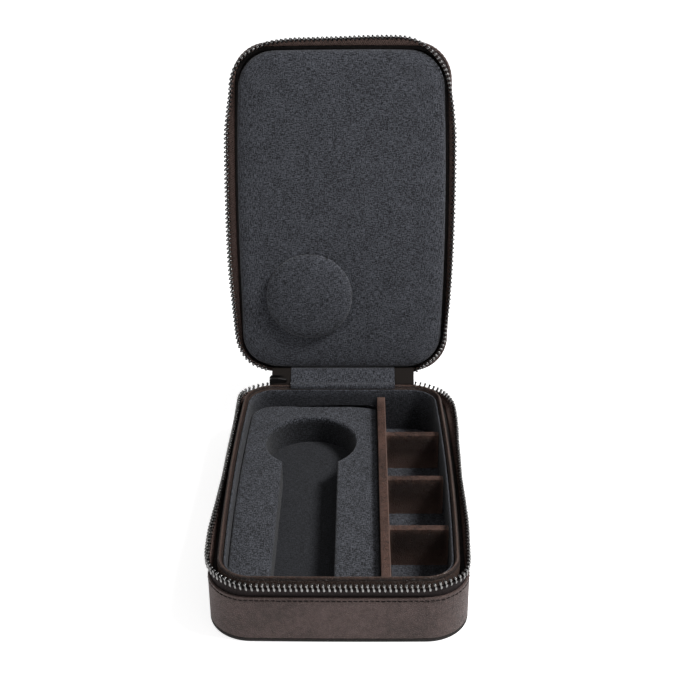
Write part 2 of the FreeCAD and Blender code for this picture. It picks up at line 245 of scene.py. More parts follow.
def turned(centre, section, steps=96):
    """The part that a section of (radius, height) makes when it turns about an upright line."""
    angles = np.linspace(0, 2 * math.pi, steps + 1)
    radii = np.array([point[0] for point in section])
    heights = np.array([point[1] for point in section])
    x = centre[0] + np.outer(radii, np.cos(angles))
    y = centre[1] + np.outer(radii, np.sin(angles))
    z = np.repeat(heights[:, None], len(angles), 1)
    return grid(np.stack((x, y, z), -1), np.stack((x, y), -1))


def block(path, section):
    """The parts of a block: a section carried round a path, and flat faces over its two open rows."""
    rows = rings(path, section)
    return [swept(path, section), cap(rows[0]), cap(rows[-1])]


def bar_ends(rows):
    """Flat faces over the two ends of a bar, each row's closing point left out."""
    return [(rows[n, :-1], [list(range(rows.shape[1] - 1))], rows[n, :-1, 1:]) for n in (0, -1)]


def make_piece(name, parts, material, stands_for=(), in_lid=False, crease=40):
    """Joins parts into one closed mesh, swings it open if it belongs to the lid, and seats it."""
    vertices, faces, threads, start = [], [], [], 0
    for points, quads, flat in parts:
        vertices.append(points)
        threads.append(flat)
        faces += [[corner + start for corner in face] for face in quads]
        start += len(points)
    mesh = bpy.data.meshes.new(name)
    mesh.from_pydata(np.vstack(vertices).tolist(), [], faces)
    corners = np.empty(len(mesh.loops), int)
    mesh.loops.foreach_get("vertex_index", corners)
    layer = mesh.uv_layers.new(name="threads")
    layer.data.foreach_set("uv", np.vstack(threads)[corners].ravel())
    work = bmesh.new()
    work.from_mesh(mesh)
    bmesh.ops.remove_doubles(work, verts=work.verts, dist=0.001 * mm)
    bmesh.ops.recalc_face_normals(work, faces=work.faces)
    work.to_mesh(mesh)
    work.free()
    mesh.shade_smooth()
    mesh.set_sharp_from_angle(angle=math.radians(crease))
    mesh.materials.append(material)
    if in_lid:
        mesh.transform(swing_open)
    piece = bpy.data.objects.new(name, mesh)
    bpy.context.scene.collection.objects.link(piece)
    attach(piece, "lid" if in_lid else "base")
    if stands_for:
        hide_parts(*stands_for)
    made[name] = len(mesh.polygons)
    return piece


# %% [markdown]
# ## Materials
#
# Four finishes carry the whole case: a dark brown leather with a fine, slightly wrinkled grain, a
# charcoal lining whose threads differ in tone, a plain woven zip tape and gunmetal. All of them are
# made from noise and waves, so they hold up at any distance and need no pictures.

# %% Node helpers
def new_material(name, **shader_values):
    """A material with its shader's own sockets set, and a shorthand that adds nodes to it."""
    material = bpy.data.materials.new(name)
    material.use_nodes = True
    nodes, links = material.node_tree.nodes, material.node_tree.links
    shader = nodes["Principled BSDF"]
    for socket, value in shader_values.items():
        shader.inputs[socket.replace("_", " ")].default_value = value

    def add(kind, settings=(), **inputs):
        node = nodes.new(kind)
        for key, value in dict(settings).items():
            setattr(node, key, value)
        for key, value in inputs.items():
            socket = node.inputs[int(key[1:])] if key[1:].isdigit() else node.inputs[key.replace("_", " ")]
            if isinstance(value, bpy.types.NodeSocket):
                links.new(value, socket)
            else:
                socket.default_value = value
        return node.outputs

    return material, shader, links, add


def mixed(add, share, first, second):
    """A colour between two, by a share."""
    outputs = add("ShaderNodeMix", {"data_type": "RGBA"}, i0=share, i6=first, i7=second)
    return outputs[2]


def remapped(add, value, low, high, new_low=0.0, new_high=1.0):
    return add("ShaderNodeMapRange", i0=value, i1=low, i2=high, i3=new_low, i4=new_high)[0]


def computed(add, operation, first, second=0.0):
    return add("ShaderNodeMath", {"operation": operation}, i0=first, i1=second)[0]


def weighted(add, *terms):
    """The sum of some values, each times its weight."""
    total = None
    for value, weight in terms:
        scaled = computed(add, "MULTIPLY", value, weight)
        total = scaled if total is None else computed(add, "ADD", total, scaled)
    return total


def woven(add, thread):
    """The axes of the flat coordinates, and a chequer of waves one thread wide."""
    axes = add("ShaderNodeSeparateXYZ", i0=add("ShaderNodeUVMap", {"uv_map": "threads"})[0])
    waves = [computed(add, "SINE", computed(add, "MULTIPLY", axes[n], math.pi / thread)) for n in (0, 1)]
    return axes, computed(add, "MULTIPLY", *waves)


def with_painted_shade(add, share, painted_shade):
    """Painted shade: a tone that falls along an axis of the piece; painted_shade is (axis, darkest at, full
    tone at, least).
    """
    if painted_shade is None:
        return share
    axis, darkest_at, full_at, least = painted_shade
    place = add("ShaderNodeSeparateXYZ", i0=add("ShaderNodeTexCoord")["Object"])[axis]
    return computed(add, "MULTIPLY", share, remapped(add, place, darkest_at, full_at, least, 1.0))


# %% [markdown]
# ### Leather
#
# Fine calf-like leather is not smooth: tight pebbles are crossed by soft creases, and the dye is a
# little uneven. Cells of a Voronoi pattern give the pebbles, and noises give the creases and the dye.
# Turned edges are made lighter, partly as rubbed wear and partly as a painted highlight, and grooves are made
# darker as painted shade: how sharply the mesh bends, which the renderer calls pointiness, tells the material
# where they are, so no edge needs its own mask.

# %% Leather material
x_axis, z_axis = 0, 2
grain = 0.9 * mm
crease_depth = 0.45


def make_leather(name, dark, light, wear_and_highlight, roughness=0.5, painted_shade=None):
    material, shader, links, add = new_material(name, Specular_IOR_Level=0.35)
    place = add("ShaderNodeTexCoord")["Object"]
    warp = add("ShaderNodeTexNoise", i0=place, Scale=260.0, Detail=2.0)["Color"]
    bent = add("ShaderNodeVectorMath", {"operation": "MULTIPLY_ADD"}, i0=warp, i1=(0.0012,) * 3, i2=place)[0]
    cells = add("ShaderNodeTexVoronoi", {"feature": "DISTANCE_TO_EDGE"}, i0=bent, Scale=1 / grain)["Distance"]
    pebble = remapped(add, cells, 0.0, 0.22)
    ridged = {"noise_type": "RIDGED_MULTIFRACTAL"}
    fold = add("ShaderNodeTexNoise", ridged, i0=bent, Scale=150.0, Detail=3.0)[0]
    dye = add("ShaderNodeTexNoise", i0=place, Scale=38.0, Detail=4.0)[0]
    mottle = add("ShaderNodeTexNoise", i0=bent, Scale=420.0, Detail=3.0)[0]
    share = weighted(add, (dye, 0.45), (mottle, 0.4), (pebble, 0.15))
    colour = mixed(add, with_painted_shade(add, remapped(add, share, 0.36, 0.68), painted_shade), dark, light)
    bend = add("ShaderNodeNewGeometry")["Pointiness"]
    # Lighter turned edges: partly rubbed wear, partly a painted highlight.
    colour = mixed(add, remapped(add, bend, 0.51, 0.6, 0.0, 0.8), colour, wear_and_highlight)
    # Darker grooves: painted shade.
    colour = mixed(add, remapped(add, bend, 0.49, 0.43, 0.0, 0.7), colour, dark)
    links.new(colour, shader.inputs["Base Color"])
    links.new(remapped(add, pebble, 0.0, 1.0, roughness + 0.16, roughness), shader.inputs["Roughness"])
    height = computed(add, "ADD", pebble, computed(add, "MULTIPLY", fold, crease_depth))
    bump = add("ShaderNodeBump", Strength=0.8, Distance=0.00035, Height=height)[0]
    links.new(bump, shader.inputs["Normal"])
    return material


# Painted shade: the lip and the dividers are darkened with depth below their tops, so only the crest and the
# top edges keep the full tone.
lip_painted_shade = (z_axis, lip_top - 1.2 * mm, lip_top, 0.15)
divider_painted_shade = (z_axis, divider_top - 3.5 * mm, divider_top - 0.6 * mm, 0.12)
band_leather = make_leather("brown_leather", (0.042, 0.026, 0.023, 1), (0.118, 0.078, 0.072, 1),
                            (0.15, 0.105, 0.092, 1))
lip_leather_painted_shade = make_leather("lip_leather_painted_shade", (0.009, 0.0045, 0.0033, 1), (0.085, 0.045, 0.033, 1),
                           (0.16, 0.105, 0.083, 1), 0.42, lip_painted_shade)
divider_leather_painted_shade = make_leather("divider_leather_painted_shade", (0.012, 0.0058, 0.0042, 1), (0.13, 0.066, 0.048, 1),
                               (0.2, 0.125, 0.1, 1), 0.46, divider_painted_shade)
# Near black: the underside shows as a dark strip along the bottom of the band.
edge_leather = make_leather("edge_leather", (0.006, 0.0045, 0.004, 1), (0.014, 0.01, 0.009, 1),
                            (0.02, 0.015, 0.013, 1), 0.7)
print("leathers", 4)

# %% [markdown]
# ### Lining
#
# The lining is a heathered cloth: each thread has its own grey, so the cloth shows short dashes along and
# across, and a speckle. Two noises stretched along the threads give the dashes, a fine one gives the speckle,
# and a chequer of waves gives the over and under of the weave. The flat coordinates made with the meshes keep
# the threads straight on the walls, the floor and the lid alike. Down in the tray the cloth of the real case
# looks nearly black, more than this light makes it, so painted shade darkens the cloth with depth there: on
# the tray walls lower down, on the platform's cut walls, and on the floor left of the long divider.

# %% Lining material
lining_thread, slub, dash = 0.42 * mm, 0.4 * mm, 2.6 * mm
middle_tone = 0.515


def make_lining(name, painted_shade=None, spread=0.16):
    dark, light = (0.0055, 0.006, 0.0078, 1), (0.094, 0.099, 0.117, 1)
    material, shader, links, add = new_material(
        name, Roughness=0.92, Specular_IOR_Level=0.25, Sheen_Weight=0.12, Sheen_Roughness=0.5)
    flat = add("ShaderNodeUVMap", {"uv_map": "threads"})[0]
    tones = []
    for scale in ((1 / dash, 1 / slub, 1.0), (1 / slub, 1 / dash, 1.0)):
        stretched = add("ShaderNodeMapping", i0=flat, Scale=scale)[0]
        tones.append(add("ShaderNodeTexNoise", i0=stretched, Scale=1.0, Detail=1.0, Roughness=0.6)[0])
    speckle = add("ShaderNodeTexNoise", i0=flat, Scale=1 / (1.7 * slub), Detail=1.0)[0]
    cloud = add("ShaderNodeTexNoise", i0=flat, Scale=90.0, Detail=3.0)[0]
    weave = woven(add, lining_thread)[1]
    both = weighted(add, (tones[0], 1.2), (tones[1], 0.8))
    tone = weighted(add, (both, 0.3), (cloud, 0.08), (speckle, 0.32), (weave, 0.03))
    share = with_painted_shade(add, remapped(add, tone, middle_tone - spread / 2, middle_tone + spread / 2), painted_shade)
    links.new(mixed(add, share, dark, light), shader.inputs["Base Color"])
    height = computed(add, "ADD", weave, computed(add, "MULTIPLY", both, 1.4))
    bump = add("ShaderNodeBump", Strength=0.5, Distance=0.00016, Height=height)[0]
    links.new(bump, shader.inputs["Normal"])
    return material


platform_proud = 2.5 * mm
soft_top = platform_top + platform_proud
divider_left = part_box("long_divider")[0].x
# Painted shade for the tray linings: the walls darker lower down, the floor darker left of the long divider,
# the platform darker down its cut walls.
wall_painted_shade = (z_axis, tray_top - 5 * mm, tray_top - 0.6 * mm, 0.45)
floor_painted_shade = (x_axis, divider_left - 0.5 * mm, divider_left + 0.5 * mm, 0.3)
platform_painted_shade = (z_axis, soft_top - 3.5 * mm, soft_top - 0.8 * mm, 0.3)
lining = make_lining("charcoal_lining")
wall_lining_painted_shade = make_lining("tray_wall_lining_painted_shade", wall_painted_shade)
floor_lining_painted_shade = make_lining("tray_floor_lining_painted_shade", floor_painted_shade)
platform_lining_painted_shade = make_lining("platform_lining_painted_shade", platform_painted_shade, 0.09)
print("linings", 4)

# %% [markdown]
# ### Zip tape, thread, metal and board
#
# The tape is a tight brown weave; its outside is given near-black colours as painted shade, and the face that
# looks into the case keeps the brown. The teeth are plated steel, dark in itself; their bright edges, which
# pointiness finds, are partly polish from use and partly painted glints. The board is made near black and
# shows only as a line beside the lid's panel, where that tone is painted shade for the gap.

# %% Tape, thread, metal and board materials
def make_plain_weave(name, dark, light, thread, inner=None):
    """A plain weave; inner is the (dark, light) of the face whose second flat coordinate is over 0."""
    material, shader, links, add = new_material(name, Roughness=0.85, Specular_IOR_Level=0.25)
    place = add("ShaderNodeTexCoord")["Object"]
    noise = add("ShaderNodeTexNoise", i0=place, Scale=1 / thread, Detail=2.0)[0]
    axes, weave = woven(add, thread)
    height = computed(add, "ADD", computed(add, "MULTIPLY", weave, 0.2), noise)
    share = remapped(add, height, 0.3, 0.7)
    colour = mixed(add, share, dark, light)
    if inner:
        colour = mixed(add, remapped(add, axes[1], 0.0, 0.4 * mm), colour, mixed(add, share, *inner))
    links.new(colour, shader.inputs["Base Color"])
    bump = add("ShaderNodeBump", Strength=0.6, Distance=0.1 * mm, Height=height)[0]
    links.new(bump, shader.inputs["Normal"])
    return material


def make_gunmetal(name, dark, light, roughness):
    material, shader, links, add = new_material(name, Metallic=1.0)
    place = add("ShaderNodeTexCoord")["Object"]
    patch = add("ShaderNodeTexNoise", i0=place, Scale=900.0, Detail=3.0)[0]
    bend = add("ShaderNodeNewGeometry")["Pointiness"]
    # Bright edges: partly polish from use, partly painted glints.
    polish_and_glint = weighted(add, (remapped(add, bend, 0.5, 0.6), 0.7), (remapped(add, patch, 0.35, 0.65), 0.3))
    links.new(mixed(add, polish_and_glint, dark, light), shader.inputs["Base Color"])
    links.new(remapped(add, patch, 0.3, 0.7, roughness, roughness + 0.14), shader.inputs["Roughness"])
    return material


tape_inner = ((0.022, 0.0145, 0.0125, 1), (0.2, 0.134, 0.116, 1))
# Painted shade: the outside of the tape gets these near-black colours; the inner colours are the tape's own
# brown.
tape_cloth_shaded_outside = make_plain_weave("zip_tape_shaded_outside", (0.005, 0.0034, 0.0034, 1), (0.024, 0.016, 0.016, 1),
                              0.5 * mm, tape_inner)
thread_cloth = make_plain_weave("brown_thread", (0.004, 0.0025, 0.002, 1), (0.012, 0.008, 0.006, 1), 0.2 * mm)
# Painted shade: the board is made near black so that the gap beside the lid's panel reads dark.
board_black_as_shade = make_plain_weave("board_black_as_shade", (0.008, 0.007, 0.007, 1), (0.02, 0.017, 0.016, 1), 1.5 * mm)
# The teeth's bright edges are partly painted glints.
tooth_metal_painted_glints = make_gunmetal("tooth_gunmetal_painted_glints", (0.025, 0.0245, 0.0245, 1), (0.31, 0.305, 0.3, 1), 0.2)
slider_metal = make_gunmetal("slider_gunmetal", (0.018, 0.017, 0.017, 1), (0.045, 0.043, 0.043, 1), 0.36)
print("materials", len(bpy.data.materials))

# %% [markdown]
# ## Leather round the side
#
# On the real case a strip of leather is glued round the wall. Its edge beside the zip is folded under
# and sewn down, which leaves a soft roll, a shallow groove and a line of stitches. The lower edge is
# turned in and meets the underside in a thin seam. The section below has each of these, and the
# groove dips a little at every stitch, because the thread pulls the leather in.

# %% Leather bands
stitch_pitch = 2.5 * mm
stitch_line = 1.7 * mm
groove_depth = 0.3 * mm
groove_width = 0.55 * mm
bottom_turn = 0.5 * mm


def band_section(low, fold, around):
    """Section of the band from its lower edge up the outside, over the fold and down the inside."""
    up = 1 if fold > low else -1
    pull = groove_depth * (0.75 + 0.25 * np.cos(2 * math.pi * around / stitch_pitch))
    pull = pull * (1 + 0.2 * np.sin(around / (7 * mm)) + 0.15 * np.sin(around / (2.9 * mm)))
    seam = fold - up * stitch_line
    section = [(0.5 * bottom_turn, low), (0.15 * bottom_turn, low + up * 0.3 * bottom_turn),
               (0.0, low + up * bottom_turn)]
    section += [(0.0, low + (seam - low) * share) for share in (0.25, 0.5, 0.75)]
    for offset in (-1.6, -0.9, -0.4, 0.0, 0.4, 0.9, 1.6):
        dip = math.exp(-offset * offset * 1.6)
        section.append((pull * dip, seam + up * offset * groove_width))
    roll = 0.45 * mm
    section += [(0.0, fold - up * roll), (0.04 * mm, fold - up * 0.25 * mm),
                (0.13 * mm, fold - up * 0.1 * mm), (0.3 * mm, fold), (0.75 * mm, fold),
                (leather - 0.08 * mm, fold - up * 0.1 * mm), (leather, fold - up * 0.4 * mm), (leather, low)]
    return section


def make_band(name, low, fold, in_lid):
    around = way_round(0, wall_corner)
    count = int(around / stitch_pitch) * 5
    distances = np.linspace(0, around, count + 1)
    path = along_outline(distances, 0, wall_corner)
    part = swept(path, band_section(low, fold, distances), closed=True)
    make_piece(name + "_sewn", [part], band_leather, [name], in_lid)


edge_rise = 0.95 * mm
make_band("base_leather_band", leather + edge_rise, band_top, False)
make_band("lid_leather_band", lid_top - leather, lid_band_edge, True)
print("bands", made)

# %% [markdown]
# ### Stitches
#
# A lockstitch shows as short, slightly slanted beads of thread, each sunk at both ends. One bead is a
# small stretched ball, and it is laid along the groove again and again. Modelled beads catch the
# light at their middles, which a painted line would not do.

# %% Stitches
stitch_length = 2.0 * mm
stitch_radius = 0.34 * mm
stitch_slant = math.radians(7)
stitch_wander = 0.09 * mm


def ring_faces(rows, sides, first=0):
    """Quads between rows of points, where each row is a closed ring of so many sides."""
    faces = []
    for row in range(rows - 1):
        for side in range(sides):
            a, b = first + row * sides + side, first + row * sides + (side + 1) % sides
            faces.append([a, b, b + sides, a + sides])
    return faces


def copied(faces, count, copies):
    """The faces of so many copies of a shape of count points."""
    return [[corner + copy * count for corner in face] for copy in range(copies) for face in faces]


def bead(length, radius, rings_count=7, sides=6):
    """A stretched ball along x: points as an array, and faces."""
    turns = np.linspace(-math.pi / 2, math.pi / 2, rings_count)
    angles = np.linspace(0, 2 * math.pi, sides, endpoint=False)
    points = [(length / 2 * math.sin(t), radius * math.cos(t) ** 0.6 * math.cos(a),
               radius * math.cos(t) ** 0.6 * math.sin(a)) for t in turns[1:-1] for a in angles]
    points = np.array([(-length / 2, 0, 0)] + points + [(length / 2, 0, 0)])
    faces = ring_faces(rings_count - 2, sides, 1)
    last = len(points) - 1
    for side in range(sides):
        following = (side + 1) % sides
        faces.append([0, 1 + following, 1 + side])
        faces.append([last, last - sides + side, last - sides + following])
    return points, faces


def repeated(points, faces, places, outward, height, slant=0.0):
    """Copies of a small shape (x along the outline, y outwards, z up) set at places: one part."""
    c, s = math.cos(slant), math.sin(slant)
    leaned = np.column_stack((points[:, 0] * c - points[:, 2] * s, points[:, 1],
                              points[:, 0] * s + points[:, 2] * c))
    back = np.column_stack((outward[:, 1], -outward[:, 0]))
    flat = (places[:, None, :] + leaned[None, :, :1] * back[:, None, :]
            + leaned[None, :, 1:2] * outward[:, None, :])
    up = np.broadcast_to(height + leaned[None, :, 2:], flat.shape[:2] + (1,))
    vertices = np.concatenate((flat, up), -1).reshape(-1, 3)
    return vertices, copied(faces, len(points), len(places)), vertices[:, :2]


def make_stitches(name, height, in_lid):
    around = way_round(0, wall_corner)
    count = int(around / stitch_pitch)
    distances = (np.arange(count) + 0.5) * around / count
    places, outward = along_outline(distances, groove_depth * 0.55, wall_corner)
    points, faces = bead(stitch_length, stitch_radius)
    number = np.arange(count)
    uneven = height + stitch_wander * (np.sin(number * 1.7) + np.sin(number * 0.63))
    part = repeated(points, faces, places, outward, uneven[:, None, None], stitch_slant)
    make_piece(name, [part], thread_cloth, (), in_lid, 80)


make_stitches("base_band_stitches", band_top - stitch_line, False)
make_stitches("lid_band_stitches", lid_band_edge + stitch_line, True)
print("stitches per band", int(way_round(0, wall_corner) / stitch_pitch))

# %% [markdown]
# ### Underside and top covers
#
# The flat covers are cut leather with eased edges; the underside is made near black, so it shows as a dark
# strip along the bottom. A bevelled slab would do from afar, but the edge catches the light, so the section
# carries a quarter round, and flat faces close both sides.

# %% Covers
def make_cover(name, inner, outer, in_lid, material, rise=0.0):
    """A leather cover from its glued face (inner height) to its showing face (outer height)."""
    up = 1 if outer > inner else -1
    ease = 0.75 * mm
    path = loop(wall_corner, 1.5 * mm)
    top = inner - up * rise
    section = [(leather + 0.2 * mm, inner), (leather, inner), (leather, top - up * 0.01 * mm),
               (0.16 * mm, top), (0.05 * mm, top + up * 0.12 * mm), (0.0, top + up * 0.3 * mm)]
    section += [(ease - ease * math.cos(a), outer - up * ease + up * ease * math.sin(a))
                for a in np.radians((0, 18, 36, 54, 72, 90))]
    section += [(ease + 0.6 * mm, outer)]
    make_piece(name + "_cut", block(path, section), material, [name], in_lid)


make_cover("underside_leather", leather, 0.0, False, edge_leather, edge_rise)
make_cover("lid_top_leather", lid_top - leather, lid_top, True, band_leather)
print("covers done")

# %% [markdown]
# ## Lip
#
# Inside the zip the base has an inner frame covered in leather, which keeps the lid in line. It is
# the brown line that runs round the tray. The leather is wrapped tightly over the board, so its top
# is a narrow crest that falls away on both sides.

# %% Lip
lip_inset, lip_thickness = 4.6 * mm, 2.4 * mm
lip_path = loop(lip_corner, 1.2 * mm)
crest_share, crest_power = 0.5, 1.7
outer_fall, inner_fall = 1.7 * mm, 1.5 * mm
lip_section = [(lip_inset, tray_floor_low)]
for angle in np.radians(np.linspace(0, 180, 15)):
    share = (1 - math.cos(angle)) / 2
    beside = abs(share - crest_share) / crest_share
    fall = (outer_fall if share < crest_share else inner_fall) * beside**crest_power
    lip_section.append((lip_inset + lip_thickness * share, lip_top - fall))
lip_section.append((lip_inset + lip_thickness, tray_floor_low))
# The lip's leather carries painted shade, darker below the crest.
make_piece("base_lip_wrapped", [swept(lip_path, lip_section, closed=True)], lip_leather_painted_shade,
           ["base_lip"])
print("lip top at", round(lip_top / mm, 1), "mm")

# %% [markdown]
# ## Zip
#
# A metal zip is a woven tape with a corded edge, and teeth clamped on the cord. At the corners the
# tape leans in, because the row of teeth takes the corner in a wider arc than the wall does.

# %% The rows round the case
zip_inset = 1.75 * mm
hinge_half_gap = 31.0 * mm
tooth_height = 3.6 * mm
tape_top = teeth_top - tooth_height
zip_round = way_round(zip_inset, zip_corner)
stop_length = 1.6 * mm
slider_length = 10.0 * mm
seat_gap = 0.2 * mm
slider_start = hinge_half_gap + stop_length + seat_gap
slider_end = slider_start + slider_length
print("zip line", round(zip_round / mm), "mm round")

# %% [markdown]
# ### How an open zip stands
#
# A zip that is undone holds its line only roughly. Its tape is sewn down behind the leather's edge
# and free above it, so it bulges outwards along the straight sides, where nothing holds it, and is
# drawn in at some corners. Between the leather and the teeth it bends one way and back again, so the
# teeth stay almost upright. The bulge is written as a few places, each a share of the way round and
# how far the row stands out there in millimetres, and a running average makes them a smooth line.

# %% Bulge of the rows
free_tape = tape_top - band_top
base_bulge = ((0.08, 0.4), (0.09, 2.0), (0.1, 2.6), (0.12, 0.1), (0.15, -0.5), (0.19, -0.8), (0.26, -0.4),
              (0.3, 0.5), (0.34, 1.9), (0.37, 2.1), (0.39, 1.2), (0.41, 0.7), (0.59, 0.9), (0.605, 2.0),
              (0.62, 1.0), (0.67, 1.4), (0.74, 0.6), (0.8, 1.5), (0.84, 2.7), (0.87, 3.1), (0.89, 2.3),
              (0.905, 2.9), (0.945, 2.3))
lid_bulge = ((0.086, 0.0), (0.094, 1.3), (0.11, 1.5), (0.16, 2.6), (0.19, 3.4), (0.22, 3.7), (0.33, 3.7),
             (0.35, 2.7), (0.37, 1.5), (0.4, 1.4), (0.42, 1.0), (0.45, 2.7), (0.5, 3.1), (0.53, 3.6),
             (0.56, 3.6), (0.575, 1.9), (0.585, 0.6), (0.6, -0.3), (0.62, -0.3), (0.645, 1.3), (0.67, 2.2),
             (0.72, 2.0), (0.8, 1.5), (0.84, 1.0), (0.87, 0.0), (0.9, -0.6), (0.915, -1.0), (0.93, 1.0),
             (0.945, 3.5))
full_tilt = math.radians(25)


def standing_out(distances, places):
    """How far the row stands out at distances along the zip line."""
    share = np.linspace(0, 1, 721)
    rough = np.interp(share, *np.array(places).T)
    window = np.hanning(17)
    smooth = np.convolve(np.pad(rough, 8, mode="edge"), window / window.sum(), mode="valid") * mm
    return np.interp(distances / zip_round, share, smooth)


def bulged(offset, rise, out_by):
    """Where a point beside the tape (outward offset, rise above the leather) goes when it bulges."""
    part = np.clip(rise / free_tape, 0, 1)
    height = np.sqrt(free_tape**2 - out_by**2)
    tilt = out_by / free_tape * full_tilt
    turn = np.arctan2(6 * out_by * part * (1 - part), height) + tilt * part**2
    beyond = np.maximum(rise - free_tape, 0)
    out = out_by * part**2 * (3 - 2 * part) + beyond * np.sin(tilt) + offset * np.cos(turn)
    up = height * part + beyond * np.cos(tilt) - offset * np.sin(turn)
    return out, np.where(rise < 0, rise, up)


print("lid row stands out by up to", max(out for _, out in lid_bulge), "mm")

# %% [markdown]
# ### Zip tapes
#
# The tape is a flat woven ribbon with a cord along its edge, which the teeth are pinched on. A tube
# section would look like rope, so the section is two close faces that end in a round bead. Over the
# parked slider the lid's tape is drawn back a little, so that it clears the slider when the lid shuts.

# %% Zip tapes
tape_half = 0.33 * mm
cord_radius = 0.75 * mm
cord_rise = 0.4 * mm
drawn_back = cord_rise + cord_radius + seat_gap
sewn_in_base, sewn_in_lid = 9.5 * mm, 6.0 * mm


def make_tape(name, sewn, places, in_lid, count=620):
    wall_round = way_round(zip_inset, wall_corner)
    shares = np.linspace(hinge_half_gap / zip_round, 1 - hinge_half_gap / zip_round, count)
    wall_points, wall_outward = along_outline(shares * wall_round, zip_inset, wall_corner)
    rim_points, rim_outward = along_outline(shares * zip_round, zip_inset, zip_corner)
    out_by = standing_out(shares * zip_round, places)
    past_slider = (slider_end + 1 * mm, slider_end + 3 * mm)
    drawn = np.interp(shares * zip_round, past_slider, (drawn_back, 0)) if in_lid else 0
    free = free_tape + cord_rise - drawn

    def row(share, offset, rise):
        points = wall_points * (1 - share) + rim_points * share
        outward = wall_outward * (1 - share) + rim_outward * share
        out, up = bulged(offset, rise, out_by)
        return np.column_stack((points + outward * out[:, None], np.broadcast_to(band_top + up, len(points))))

    outside = [(0, tape_half, -sewn), (0, tape_half, 0)]
    outside += [(share, tape_half, free * share) for share in np.linspace(0.08, 0.92, 12)]
    cord = [(1, cord_radius * math.cos(a), free + cord_radius * math.sin(a))
            for a in np.radians((-50, -20, 10, 40, 70, 90, 110, 140, 170, 200, 230))]
    inside = [(share, -offset, rise) for share, offset, rise in reversed(outside)]
    rows = np.array([row(*place) for place in outside + cord + inside + outside[:1]])
    along = lengths_along(rows[0])
    across = lengths_along(rows[:, 0])
    across -= across[-1] / 2
    threads = np.stack(np.meshgrid(along, across), -1)
    parts = [grid(rows, threads)] + [cap(rows[:, column]) for column in (0, -1)]
    if in_lid:
        parts = [(points * (1, 1, -1) + (0, 0, 2 * rim), faces, flat) for points, faces, flat in parts]
    make_piece(name + "_woven", parts, tape_cloth_shaded_outside, [name], in_lid)


make_tape("base_zip_tape", sewn_in_base, base_bulge, False)
make_tape("lid_zip_tape", sewn_in_lid, lid_bulge, True)
print("tapes done")

# %% [markdown]
# ### Teeth
#
# Each tooth is stamped metal: two legs pinched round the cord, a narrow waist, and a head with a
# nib above and a hollow below, which is what locks the rows together. The tooth is one small mesh
# built from level sections, and it is repeated along the row at its pitch.

# %% Teeth
tooth_pitch = 2.5 * mm
tooth_half_width = 0.675 * mm
tooth_half_depth = 1.2 * mm


def tooth_shape(sides=10):
    """One tooth from level sections: height, half width and half depth as shares, and a lean."""
    sections = ((0.0, 0.74, 0.86, -0.3), (0.05, 0.88, 1.0, -0.3), (0.3, 0.92, 1.0, -0.26),
                (0.44, 0.84, 0.9, -0.14), (0.54, 0.62, 0.74, 0.06), (0.64, 0.6, 0.68, 0.26),
                (0.72, 0.82, 0.76, 0.4), (0.84, 0.94, 0.74, 0.46), (0.93, 0.86, 0.62, 0.44),
                (0.98, 0.62, 0.44, 0.4), (1.0, 0.36, 0.28, 0.38))
    points = []
    angles = np.linspace(0, 2 * math.pi, sides, endpoint=False) + math.pi / sides
    for height, width, depth, lean in sections:
        for angle in angles:
            c, s = math.cos(angle), math.sin(angle)
            x = math.copysign(abs(c) ** 0.55, c) * width * tooth_half_width + lean * tooth_half_width
            y = math.copysign(abs(s) ** 0.55, s) * depth * tooth_half_depth
            points.append((x, y, height * tooth_height))
    faces = ring_faces(len(sections), sides)
    last = len(sections) - 1
    faces.append(list(reversed(range(sides))))
    faces.append([last * sides + side for side in range(sides)])
    return np.array(points), faces


def make_teeth(name, shift, places, in_lid):
    first = slider_end + seat_gap + tooth_pitch / 2
    last = zip_round - hinge_half_gap - stop_length - seat_gap - tooth_half_width
    count = int((last - first - shift * tooth_pitch) / tooth_pitch) + 1
    distances = first + (np.arange(count) + shift) * tooth_pitch
    spots, outward = along_outline(distances, zip_inset, zip_corner)
    back = np.column_stack((outward[:, 1], -outward[:, 0]))
    points, faces = tooth_shape()
    out_by = standing_out(distances, places)[:, None]
    out, up = bulged(points[None, :, 1], points[None, :, 2] + free_tape, out_by)
    flat = spots[:, None] + points[None, :, :1] * back[:, None] + out[:, :, None] * outward[:, None]
    vertices = np.concatenate((flat, band_top + up[:, :, None]), -1).reshape(-1, 3)
    if in_lid:
        vertices = vertices * (1, 1, -1) + (0, 0, 2 * rim)
    part = (vertices, copied(faces, len(points), count), vertices[:, :2])
    make_piece(name + "_stamped", [part], tooth_metal_painted_glints, [name], in_lid, 50)
    print(name, count)


make_teeth("base_zip_teeth", 0.0, base_bulge, False)
make_teeth("lid_zip_teeth", 0.5, lid_bulge, True)

# %% [markdown]
# ## Tray lining
#
# The tray is card wrapped in cloth. Where the cloth turns over the wall's top edge it makes a thin
# roll that catches the light, and it sits a little below the leather lip.

# %% Tray wall and floor
# The wall and floor linings carry painted shade, darker with depth.
tray_inset, tray_wall_thickness = 7.4 * mm, 1.0 * mm
half_wall = tray_wall_thickness / 2
wall_section = [(tray_inset, tray_floor_top)]
wall_section += rounded(tray_inset + half_wall, tray_top - half_wall, half_wall, 0, 180, 8)
wall_section += [(tray_inset + tray_wall_thickness, tray_floor_top)]
make_piece("tray_wall_lined", [swept(lip_path, wall_section, closed=True)], wall_lining_painted_shade,
           ["tray_wall"])

floor_section = [(tray_inset, tray_floor_low), (tray_inset, tray_floor_top - 0.3 * mm),
                 (tray_inset + 0.1 * mm, tray_floor_top - 0.1 * mm), (tray_inset + 0.3 * mm, tray_floor_top),
                 (tray_inset + 1.0 * mm, tray_floor_top)]
make_piece("tray_floor_lined", block(lip_path, floor_section), floor_lining_painted_shade, ["tray_floor"])
print("tray lined")

